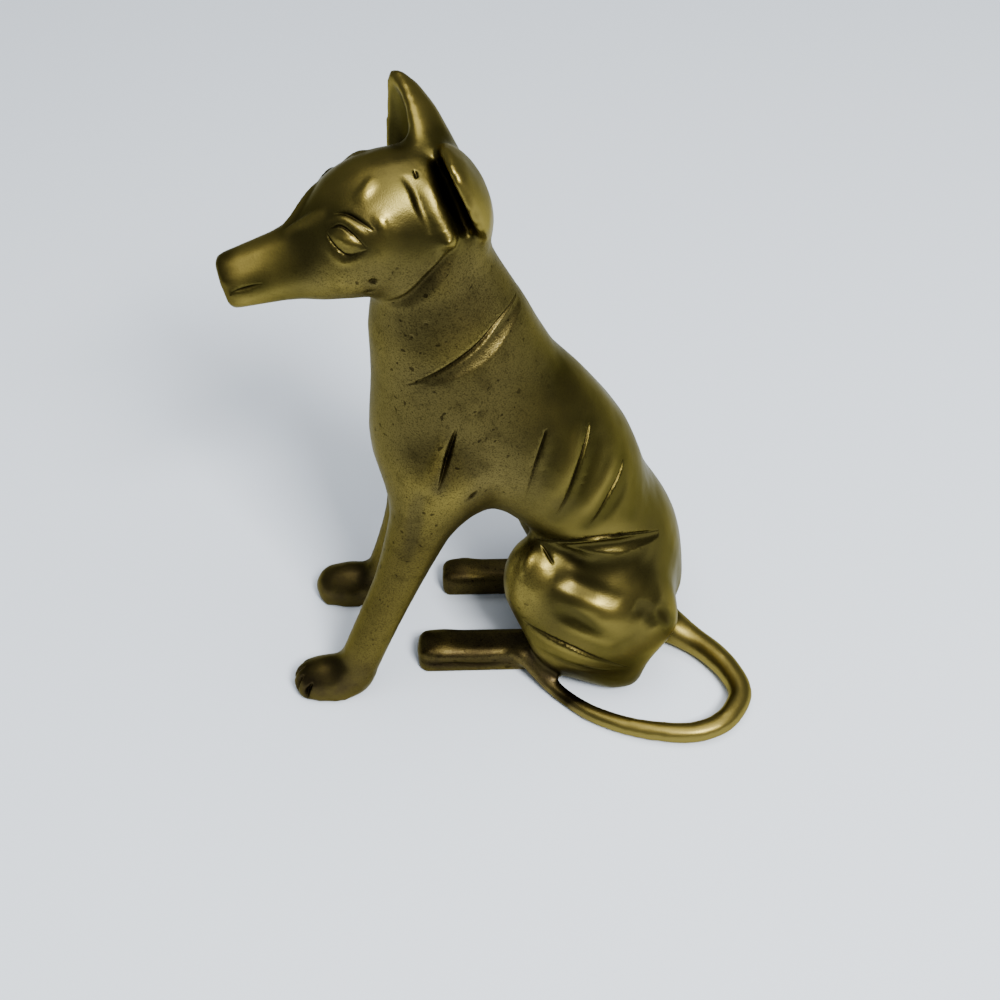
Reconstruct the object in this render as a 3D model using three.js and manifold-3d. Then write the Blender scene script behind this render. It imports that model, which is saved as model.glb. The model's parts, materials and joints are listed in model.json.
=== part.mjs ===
// Seated greyhound figurine, one solid casting in brass. Millimetres, +Z up.
// The dog faces -X and its own left side is -Y. It rests on z = 0 on its paws, haunches and tail.
//
// The form is a field of soft, blended masses (chains of elliptical sections and ellipsoids).
// The field is meshed, thinned out to a light mesh, cut flat at the resting plane, and then
// engraved with tapered V grooves.

import * as THREE from "three";
import { mergeVertices } from "three/addons/utils/BufferGeometryUtils.js";
import Module from "manifold-3d";

// Size of the whole figure. Every pose point below is given for a height of 130 mm and scaled by K.
const FIGURE_HEIGHT = 130; // mm, table to the top of the higher ear
const K = FIGURE_HEIGHT / 130;

// Thicknesses of the main masses, mm.
const NOSE_DEPTH = 10.4;
const NOSE_WIDTH = 9;
const MUZZLE_DEPTH = 13.2;
const MUZZLE_WIDTH = 11.6;
const SKULL_DEPTH = 26;
const SKULL_WIDTH = 22;
const NECK_DEPTH = 25;
const NECK_WIDTH = 23;
const CHEST_DEPTH = 26;
const CHEST_WIDTH = 30;
const BACK_DEPTH = 34;
const BACK_WIDTH = 32;
const RUMP_DEPTH = 35;
const RUMP_WIDTH = 34;
const FORELEG_THICKNESS = 8.8;
const PAW_LENGTH = 17;
const PAW_WIDTH = 9.6;
const PAW_HEIGHT = 8.6;
const THIGH_LENGTH = 33;
const THIGH_HEIGHT = 34;
const THIGH_THICKNESS = 21;
const HIND_FOOT_WIDTH = 8.2;
const HIND_FOOT_HEIGHT = 6.2;
const TAIL_ROOT_THICKNESS = 7;
const TAIL_FLARE = 3; // added to the tail where it leaves the rump
const TAIL_TIP_THICKNESS = 3;
const EAR_LENGTH = 16;
const EAR_WIDTH = 18;
const EAR_THICKNESS = 7.6;
const EAR_HOLLOW = 3.4;
const EAR_LIP_THICKNESS = 3.6;
const EAR_SLOT_WIDTH = 3.2; // the slot in front of the left ear
const EAR_SLOT_DEPTH = 4.5;

// Engraving, mm.
const LINE_WIDTH = 1.3;
const LINE_DEPTH = 0.8;
const SLIT_WIDTH = 2;
const SLIT_DEPTH = 2;

// Mesh settings.
const GRID_STEP = 1.3; // mm, spacing of the sampling grid
const TRIANGLES = 7000; // triangles kept before the engraving is cut

const { sqrt, min, max, abs, hypot, cos, sin, PI } = Math;
const at = (x, y, z) => new THREE.Vector3(x, y, z).multiplyScalar(K);

// Field of an ellipse or ellipsoid from the local offsets and half sizes, close to a true distance.
function roundField(u, v, w, a, b, c) {
  const ka = u / a;
  const kb = v / b;
  const kc = w / c;
  const k0 = sqrt(ka * ka + kb * kb + kc * kc);
  if (k0 < 1e-6) return -min(a, b, c);
  const k1 = hypot(ka / a, kb / b, kc / c);
  return (k0 * (k0 - 1)) / k1;
}

// One value of a smooth curve through p1 and p2, with p0 and p3 beyond them.
function smoothValue(p0, p1, p2, p3, t) {
  const t2 = t * t;
  const t3 = t2 * t;
  const square = 2 * p0 - 5 * p1 + 4 * p2 - p3;
  const cube = 3 * p1 - p0 - 3 * p2 + p3;
  return 0.5 * (2 * p1 + (p2 - p0) * t + square * t2 + cube * t3);
}

// A limb or trunk: elliptical sections along a smooth line through the stations.
// A station is { at, depth, width }. `side` is the direction along which the width is measured.
function chain(stations, side, steps = 5) {
  const rows = stations.map((s) => [s.at.x, s.at.y, s.at.z, s.depth / 2, s.width / 2]);
  const fine = [];
  for (let i = 0; i + 1 < rows.length; i++) {
    const four = [rows[max(i - 1, 0)], rows[i], rows[i + 1], rows[min(i + 2, rows.length - 1)]];
    for (let j = 0; j < steps; j++) {
      const at = (n) => smoothValue(four[0][n], four[1][n], four[2][n], four[3][n], j / steps);
      fine.push(four[0].map((_, n) => at(n)));
    }
  }
  fine.push(rows[rows.length - 1]);
  const links = [];
  for (let i = 0; i + 1 < fine.length; i++) {
    const p = new THREE.Vector3(...fine[i]);
    const q = new THREE.Vector3(...fine[i + 1]);
    const axis = q.clone().sub(p);
    const length = axis.length();
    axis.normalize();
    const across = side.clone().addScaledVector(axis, -side.dot(axis)).normalize();
    const up = new THREE.Vector3().crossVectors(axis, across);
    const [a0, b0, a1, b1] = [fine[i][3], fine[i][4], fine[i + 1][3], fine[i + 1][4]];
    links.push({ p, axis, length, across, up, a0, b0, a1, b1 });
  }
  const box = new THREE.Box3();
  for (const r of fine) {
    const reach = max(r[3], r[4]);
    box.expandByPoint(new THREE.Vector3(r[0] - reach, r[1] - reach, r[2] - reach));
    box.expandByPoint(new THREE.Vector3(r[0] + reach, r[1] + reach, r[2] + reach));
  }
  const value = (x, y, z) => {
    let best = 1e9;
    for (const s of links) {
      const dx = x - s.p.x;
      const dy = y - s.p.y;
      const dz = z - s.p.z;
      const along = dx * s.axis.x + dy * s.axis.y + dz * s.axis.z;
      const t = min(max(along / s.length, 0), 1);
      const a = s.a0 + (s.a1 - s.a0) * t;
      const b = s.b0 + (s.b1 - s.b0) * t;
      const w = along - t * s.length;
      const u = dx * s.up.x + dy * s.up.y + dz * s.up.z;
      const v = dx * s.across.x + dy * s.across.y + dz * s.across.z;
      const d = roundField(u, v, w, a, b, min(a, b));
      if (d < best) best = d;
    }
    return best;
  };
  return { box, value };
}

// An ellipsoid with its own axes: `long` and `side` are directions, the third is square to both.
function lump(centre, long, side, halfLong, halfSide, halfThird) {
  const e = long.clone().normalize();
  const s = side.clone().addScaledVector(e, -side.dot(e)).normalize();
  const t = new THREE.Vector3().crossVectors(e, s);
  const reach = max(halfLong, halfSide, halfThird);
  const box = new THREE.Box3(centre.clone(), centre.clone()).expandByScalar(reach);
  const value = (x, y, z) => {
    const dx = x - centre.x;
    const dy = y - centre.y;
    const dz = z - centre.z;
    return roundField(
      dx * e.x + dy * e.y + dz * e.z,
      dx * s.x + dy * s.y + dz * s.z,
      dx * t.x + dy * t.y + dz * t.z,
      halfLong,
      halfSide,
      halfThird,
    );
  };
  return { box, value };
}

// A long block with rounded edges that stands on the resting plane, from one end to the other.
function block(from, to, width, height, round) {
  const middle = from.clone().add(to).multiplyScalar(0.5);
  const long = to.clone().sub(from);
  const half = long.length() / 2;
  long.normalize();
  const across = new THREE.Vector3(-long.y, long.x, 0).normalize();
  const box = new THREE.Box3().setFromPoints([from, to]).expandByScalar(max(width, height));
  const value = (x, y, z) => {
    const dx = x - middle.x;
    const dy = y - middle.y;
    const u = abs(dx * long.x + dy * long.y) - half + round;
    const v = abs(dx * across.x + dy * across.y) - width / 2 + round;
    const w = abs(z - middle.z) - height + round;
    return hypot(max(u, 0), max(v, 0), max(w, 0)) + min(max(u, v, w), 0) - round;
  };
  return { box, value };
}

// The lower and the higher of two values, with the corner between them rounded over the size k.
const softMin = (a, b, k) => {
  const h = max(k - abs(a - b), 0) / k;
  return min(a, b) - (h * h * k) / 4;
};
const softMax = (a, b, k) => -softMin(-a, -b, k);

// An ear: a leaf whose back is a dome and whose front is a shallow cup with a rounded rim.
// `root` is the middle of its foot, `up` points to its tip, `across` along its foot to the outer end,
// and `hand` is 1 or -1 for the side. The tip lies over the inner end of the foot.
function ear(root, up, across, hand, length, width, thickness, hollow) {
  const e = up.clone().normalize();
  const w = across.clone().addScaledVector(e, -across.dot(e)).normalize();
  const n = new THREE.Vector3().crossVectors(e, w).multiplyScalar(hand);
  const box = new THREE.Box3(root.clone(), root.clone()).expandByScalar(1.3 * length);
  const value = (x, y, z) => {
    const dx = x - root.x;
    const dy = y - root.y;
    const dz = z - root.z;
    const s = dx * e.x + dy * e.y + dz * e.z;
    const r = dx * n.x + dy * n.y + dz * n.z;
    const t = min(max(s / length, 0), 1);
    const q = dx * w.x + dy * w.y + dz * w.z + width * 0.04 * t;
    const halfWidth = (width / 2) * (1 - 0.33 * t * t);
    const dome = roundField(s + length * 0.15, q, r, length * 1.15, halfWidth, thickness * (1 - 0.25 * t));
    const cup = roundField(s - length * 0.36, q, r - 1, length * 0.46, halfWidth * 0.66, hollow + 1);
    return softMax(softMax(dome, r, 1.6 * K), -cup, 1.4 * K);
  };
  return { box, value };
}

const X = new THREE.Vector3(1, 0, 0);
const Y = new THREE.Vector3(0, 1, 0);
const Z = new THREE.Vector3(0, 0, 1);
const NEAR = -1; // the dog's left
const FAR = 1; // the dog's right

// Head. It is turned a little to the dog's left, and its flat nose end leans back at the bottom.
const HEAD_TURN = (12 * PI) / 180;
const headForward = new THREE.Vector3(-cos(HEAD_TURN), -sin(HEAD_TURN), 0);
const headSide = new THREE.Vector3(-sin(HEAD_TURN), cos(HEAD_TURN), 0);
const NOSE = at(-48.7, -9.2, 102.3);
const SKULL = at(-21.5, -3.1, 109.4);
const headForm = chain(
  [
    { at: NOSE, depth: NOSE_DEPTH, width: NOSE_WIDTH },
    { at: at(-38, -6.8, 104.1), depth: MUZZLE_DEPTH, width: MUZZLE_WIDTH },
    { at: at(-31.5, -5.4, 105.2), depth: SKULL_DEPTH * 0.66, width: SKULL_WIDTH * 0.7 },
    { at: at(-26.8, -4.3, 107.2), depth: SKULL_DEPTH * 0.815, width: SKULL_WIDTH * 0.9 },
    { at: SKULL, depth: SKULL_DEPTH, width: SKULL_WIDTH },
    { at: at(-16, -1.9, 109.2), depth: SKULL_DEPTH * 0.96, width: SKULL_WIDTH },
    { at: at(-13.5, -1.4, 103.5), depth: SKULL_DEPTH * 0.7, width: SKULL_WIDTH * 0.9 },
  ],
  headSide,
);
const nosePlane = new THREE.Plane().setFromNormalAndCoplanarPoint(
  headForward.clone().addScaledVector(Z, -0.17).normalize(),
  NOSE.clone().addScaledVector(headForward, K),
);

// Trunk: one mass down the back, one down the chest.
const trunk = [
  [
    chain(
      [
        { at: at(-13.5, -1.5, 100), depth: NECK_DEPTH * 0.88, width: NECK_WIDTH * 0.95 },
        { at: at(-9.6, -1.5, 87), depth: NECK_DEPTH * 1.04, width: NECK_WIDTH },
        { at: at(-2.5, -1.4, 71.2), depth: BACK_DEPTH * 0.83, width: BACK_WIDTH * 0.84 },
        { at: at(2.6, -1.2, 62.2), depth: BACK_DEPTH * 0.93, width: BACK_WIDTH * 0.94 },
        { at: at(10.1, -0.7, 51.6), depth: BACK_DEPTH * 0.9, width: BACK_WIDTH },
        { at: at(18, 0.2, 39), depth: BACK_DEPTH * 0.7, width: BACK_WIDTH },
        { at: at(21.5, 0.8, 27), depth: RUMP_DEPTH * 0.82, width: RUMP_WIDTH },
        { at: at(23.5, 1, 15), depth: RUMP_DEPTH * 0.8, width: RUMP_WIDTH * 0.78 },
      ],
      Y,
    ),
    6,
  ],
  [
    chain(
      [
        { at: at(-12.5, -1.5, 84), depth: NECK_DEPTH, width: NECK_WIDTH },
        { at: at(-13.5, -1.7, 72), depth: CHEST_DEPTH, width: CHEST_WIDTH * 0.9 },
        { at: at(-14, -1.9, 60), depth: CHEST_DEPTH * 1.04, width: CHEST_WIDTH },
        { at: at(-12.8, -2, 54), depth: CHEST_DEPTH * 0.88, width: CHEST_WIDTH * 0.86 },
      ],
      Y,
    ),
    8,
  ],
];

// Forelegs, the left one first: points down the leg, and the middle of the paw.
const forelegs = [
  [
    [
      at(-13, -10.5, 58),
      at(-17.5, -11.5, 46),
      at(-23.5, -13.5, 30),
      at(-29.3, -15.8, 17),
      at(-33.6, -17.4, 7),
    ],
    at(-39.4, -17.7, 3),
  ],
  [
    [at(-15.5, 8.5, 58), at(-20, 9.5, 46), at(-22, 10, 30), at(-25.5, 9.8, 17), at(-29, 9.6, 7)],
    at(-36.3, 9.8, 3),
  ],
];
const legForms = [];
for (const [line, paw] of forelegs) {
  const swell = [1.9, 1.52, 1.1, 1, 0.98];
  const stations = line.map((p, i) => {
    const thickness = FORELEG_THICKNESS * swell[i];
    return { at: p, depth: thickness, width: thickness };
  });
  legForms.push([chain(stations, Y), 6]);
  legForms.push([lump(paw, X, Y, PAW_LENGTH / 2, PAW_WIDTH / 2, PAW_HEIGHT * 0.65), 3]);
  const toes = paw.clone().addScaledVector(X, -PAW_LENGTH * 0.45).setZ(0);
  const wrist = paw.clone().addScaledVector(X, PAW_LENGTH * 0.2).setZ(0);
  legForms.push([block(toes, wrist, PAW_WIDTH * 0.9, PAW_HEIGHT * 0.72, PAW_WIDTH * 0.3), 2]);
}

// Haunches and hind feet, the left ones first: haunch, knee, toe, heel and width of the foot.
const hindLegs = [
  [at(18.5, -14, 16.5), at(6.3, -11.6, 26), at(-20.9, -10.4, 0), at(8, -10.6, 0), HIND_FOOT_WIDTH],
  [at(20, 15, 17), at(9, 13.5, 26), at(-16, 11.4, 0), at(12, 11.2, 0), HIND_FOOT_WIDTH * 0.85],
];
for (const [haunch, knee, toe, heel, width] of hindLegs) {
  legForms.push([lump(haunch, X, Y, THIGH_LENGTH / 2, THIGH_THICKNESS / 2, THIGH_HEIGHT / 2), 5]);
  legForms.push([lump(knee, X, Y, THIGH_LENGTH * 0.25, THIGH_THICKNESS * 0.4, THIGH_HEIGHT * 0.34), 4]);
  legForms.push([block(toe, heel, width, HIND_FOOT_HEIGHT, width * 0.24), 2]);
  const ball = toe.clone().lerp(heel, 0.18).setZ(HIND_FOOT_HEIGHT * 0.5);
  const [long, wide, high] = [width * 0.6, width * 0.46, HIND_FOOT_HEIGHT * 0.6];
  legForms.push([lump(ball, X, Y, long, wide, high), 2]);
}
for (const buttock of [at(22.6, -15.2, 6.5), at(26, 17, 7)]) {
  const half = THIGH_THICKNESS * 0.36;
  legForms.push([lump(buttock, X, Y, half, half * 0.95, half), 4]);
}

// The hollow between the left haunch and the root of the tail.
const hollows = [[lump(at(38, -20, 4.5), X, Y, 9.5 * K, 9.5 * K, 9.5 * K), 4, true]];

// Tail: it lies on the table, sweeps out to the dog's left and ends on the edge of the left hind foot.
// The third number of each point is how far the tail is lifted off the table there.
const TAIL_FLAT = 0.3; // mm filed off under the tail, so that it lies on the table
const tailLine = [
  at(29.5, -3, 1.4), at(34.6, -5.6, 0.4), at(39.4, -8.9, 0), at(43.6, -13, 0), at(47, -18.4, 0),
  at(48.3, -24.5, 0), at(44.1, -31, 0), at(37.6, -33.7, 0), at(30, -33.1, 0), at(22.5, -31, 0),
  at(15.5, -27.3, 0), at(9.8, -22.2, 0), at(5.2, -17.8, 1.8), at(1.8, -14.6, 4.6),
];
const tail = [
  chain(
    tailLine.map((p, i) => {
      const t = i / (tailLine.length - 1);
      const flare = max(1 - i / 2, 0) * TAIL_FLARE;
      const size = TAIL_ROOT_THICKNESS + (TAIL_TIP_THICKNESS - TAIL_ROOT_THICKNESS) * t ** 0.8 + flare;
      return { at: p.clone().setZ(size / 2 - TAIL_FLAT + p.z), depth: size, width: size };
    }),
    Z,
    4,
  ),
  3,
];

// A point of the head, given from the middle of the skull: forward, out to side s, and up.
const onFace = (s, f, o, u) =>
  SKULL.clone()
    .addScaledVector(headForward, f * K)
    .addScaledVector(headSide, s * o * K)
    .addScaledVector(Z, u * K);

// Brows: low swellings over the eyes, which square the forehead.
const brows = [NEAR, FAR].map((s) => {
  const centre = onFace(s, 4, 6.6, 3.6);
  return [lump(centre, headForward, headSide, SKULL_WIDTH * 0.24, SKULL_WIDTH * 0.17, SKULL_WIDTH * 0.15), 4];
});

// Ears. The left one is folded back as a narrow shell, with a slot and a low lip in front of it.
// The right one stands up and opens as a cup. Each foot is given from the middle of the skull:
// forward, out and up. It leans forward and out, and its opening is turned. Its size is given as
// shares of the length, the thickness and the hollow.
const ears = [];
const earPoses = [
  { s: NEAR, foot: [-12.6, 5.4, 7.6], lean: [0.24, 0.7], turn: -0.25, size: [0.75, 0.66, 0] },
  { s: FAR, foot: [-5.2, 8, 7], lean: [0, 0.65], turn: 0.2, size: [1, 1.4, 0.7] },
];
for (const { s, foot, lean, turn, size } of earPoses) {
  const length = EAR_LENGTH * size[0];
  const thickness = EAR_THICKNESS * size[1];
  const hollow = EAR_HOLLOW * size[2];
  const root = onFace(s, ...foot);
  const up = new THREE.Vector3()
    .addScaledVector(headForward, lean[0])
    .addScaledVector(headSide, s * lean[1])
    .addScaledVector(Z, 0.76);
  const across = new THREE.Vector3()
    .addScaledVector(headForward, turn)
    .addScaledVector(headSide, s * 0.63)
    .addScaledVector(Z, -0.643);
  ears.push([ear(root, up, across, s, length, EAR_WIDTH, thickness, hollow), 3]);
  if (s === FAR) continue;
  const ahead = new THREE.Vector3().crossVectors(up, across).multiplyScalar(s).normalize();
  const beside = (f, u, w) =>
    root.clone().addScaledVector(ahead, f * K).addScaledVector(up, u * K).addScaledVector(across, w * K);
  const lip = [-6, -2, 2.5, 7.5].map((w, i) => {
    const round = EAR_LIP_THICKNESS * [0.8, 1, 1, 0.8][i];
    return { at: beside(4.6, 0.8, w), depth: round, width: round };
  });
  ears.push([chain(lip, ahead), 2]);
  const slot = lump(beside(1.2, 0, 1), up, across, EAR_SLOT_DEPTH, EAR_WIDTH * 0.5, EAR_SLOT_WIDTH / 2);
  ears.push([slot, 1, true]);
}

// The whole field: every form is joined to the ones before it with its own blend.
const NOSE_EDGE = 1.2; // mm, rounding round the nose end
const head = {
  box: headForm.box,
  value: (x, y, z) => {
    const past = nosePlane.distanceToPoint(new THREE.Vector3(x, y, z));
    return softMax(headForm.value(x, y, z), past, NOSE_EDGE);
  },
};
const rows = [...trunk, [head, 3], ...brows, ...legForms, ...hollows, ...ears, tail];
const forms = rows.map(([form, blend, cut]) => ({ ...form, blend: blend * K, cut }));
const FILED_OFF = 1.6; // mm of metal under the resting plane, cut away at the end
function field(x, y, z) {
  let d = 1e3;
  for (const form of forms) {
    const b = form.box;
    const away = max(b.min.x - x, x - b.max.x, b.min.y - y, y - b.max.y, b.min.z - z, z - b.max.z);
    if (away > form.blend && (form.cut || away > d)) continue;
    const v = form.value(x, y, z);
    d = form.cut ? softMax(d, -v, form.blend) : softMin(d, v, form.blend);
  }
  return max(d, -z - FILED_OFF);
}

// Marching tetrahedra: six to a grid cell, so that the surface is always closed.
function meshField(step) {
  const box = new THREE.Box3();
  for (const f of forms) box.union(f.box);
  box.min.z = -FILED_OFF;
  box.expandByScalar(step);
  const n = [0, 1, 2].map((i) => Math.ceil((box.max.getComponent(i) - box.min.getComponent(i)) / step) + 2);
  const [nx, ny, nz] = n;
  const values = new Float32Array(nx * ny * nz).fill(NaN);
  const id = (i, j, k) => (k * ny + j) * nx + i;
  const px = (i) => box.min.x + i * step;
  const py = (j) => box.min.y + j * step;
  const pz = (k) => box.min.z + k * step;
  const sample = (i, j, k) => {
    const q = id(i, j, k);
    if (Number.isNaN(values[q])) values[q] = field(px(i), py(j), pz(k)) || 1e-6;
    return values[q];
  };
  const BLOCK = 4;
  const points = [];
  const triangles = [];
  const edges = new Map();
  const orders = [[0, 1, 2], [0, 2, 1], [1, 0, 2], [1, 2, 0], [2, 0, 1], [2, 1, 0]];
  const corner = (c, i, j, k) => [i + (c & 1), j + ((c >> 1) & 1), k + ((c >> 2) & 1)];
  const crossing = (a, va, b, vb) => {
    const low = id(...a);
    const high = id(...b);
    const key = low < high ? low * 4194304 + high : high * 4194304 + low;
    let at = edges.get(key);
    if (at === undefined) {
      const t = min(max(va / (va - vb), 0.02), 0.98);
      at = points.length / 3;
      points.push(px(a[0] + (b[0] - a[0]) * t), py(a[1] + (b[1] - a[1]) * t), pz(a[2] + (b[2] - a[2]) * t));
      edges.set(key, at);
    }
    return at;
  };
  const face = (p, q, r, inside, outside) => {
    const v = (m) => new THREE.Vector3(points[3 * m], points[3 * m + 1], points[3 * m + 2]);
    const a = v(p);
    const normal = new THREE.Vector3().crossVectors(v(q).sub(a), v(r).sub(a));
    const out = new THREE.Vector3(outside[0] - inside[0], outside[1] - inside[1], outside[2] - inside[2]);
    if (normal.dot(out) > 0) triangles.push(p, q, r);
    else triangles.push(p, r, q);
  };
  for (let bk = 0; bk < nz - 1; bk += BLOCK)
    for (let bj = 0; bj < ny - 1; bj += BLOCK)
      for (let bi = 0; bi < nx - 1; bi += BLOCK) {
        const half = BLOCK / 2;
        if (abs(field(px(bi + half), py(bj + half), pz(bk + half))) > step * BLOCK * 1.8) continue;
        for (let k = bk; k < min(bk + BLOCK, nz - 1); k++)
          for (let j = bj; j < min(bj + BLOCK, ny - 1); j++)
            for (let i = bi; i < min(bi + BLOCK, nx - 1); i++) {
              const c = [];
              let count = 0;
              for (let m = 0; m < 8; m++) {
                const at = corner(m, i, j, k);
                const v = sample(...at);
                c.push([at, v]);
                if (v < 0) count++;
              }
              if (count === 0 || count === 8) continue;
              for (const o of orders) {
                const m1 = 1 << o[0];
                const m2 = m1 | (1 << o[1]);
                const tet = [c[0], c[m1], c[m2], c[7]];
                const inner = tet.filter((t) => t[1] < 0);
                const outer = tet.filter((t) => t[1] >= 0);
                if (!inner.length || !outer.length) continue;
                const e = (a, b) => crossing(a[0], a[1], b[0], b[1]);
                const from = mid(inner);
                const to = mid(outer);
                if (inner.length === 1) {
                  face(e(inner[0], outer[0]), e(inner[0], outer[1]), e(inner[0], outer[2]), from, to);
                } else if (outer.length === 1) {
                  face(e(inner[0], outer[0]), e(inner[1], outer[0]), e(inner[2], outer[0]), from, to);
                } else {
                  const a = e(inner[0], outer[0]);
                  const b = e(inner[0], outer[1]);
                  const d = e(inner[1], outer[1]);
                  const f = e(inner[1], outer[0]);
                  face(a, b, d, from, to);
                  face(a, d, f, from, to);
                }
              }
            }
      }
  return { points, triangles };
}
const mid = (set) => [0, 1, 2].map((n) => set.reduce((sum, t) => sum + t[0][n], 0) / set.length);

// Evens the mesh out: each point moves to the middle of its neighbours and back onto the surface.
function relax({ points, triangles }, rounds) {
  const count = points.length / 3;
  for (let round = 0; round < rounds; round++) {
    const sum = new Float64Array(points.length);
    const normal = new Float64Array(points.length);
    const near = new Float64Array(count);
    for (let f = 0; f < triangles.length; f += 3) {
      const ids = [triangles[f], triangles[f + 1], triangles[f + 2]];
      const [a, b, c] = ids.map((v) => new THREE.Vector3().fromArray(points, 3 * v));
      const n = new THREE.Vector3().crossVectors(b.clone().sub(a), c.clone().sub(a));
      for (let i = 0; i < 3; i++) {
        const v = ids[i];
        const w = ids[(i + 1) % 3];
        for (let k = 0; k < 3; k++) {
          sum[3 * v + k] += points[3 * w + k];
          normal[3 * v + k] += n.getComponent(k);
        }
        near[v]++;
      }
    }
    for (let v = 0; v < count; v++) {
      const n = new THREE.Vector3(normal[3 * v], normal[3 * v + 1], normal[3 * v + 2]).normalize();
      const p = new THREE.Vector3(sum[3 * v] / near[v], sum[3 * v + 1] / near[v], sum[3 * v + 2] / near[v]);
      const d = field(p.x, p.y, p.z);
      p.addScaledVector(n, -min(max(d, -GRID_STEP / 2), GRID_STEP / 2));
      for (let k = 0; k < 3; k++) points[3 * v + k] = p.getComponent(k);
    }
  }
  return { points, triangles };
}

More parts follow.
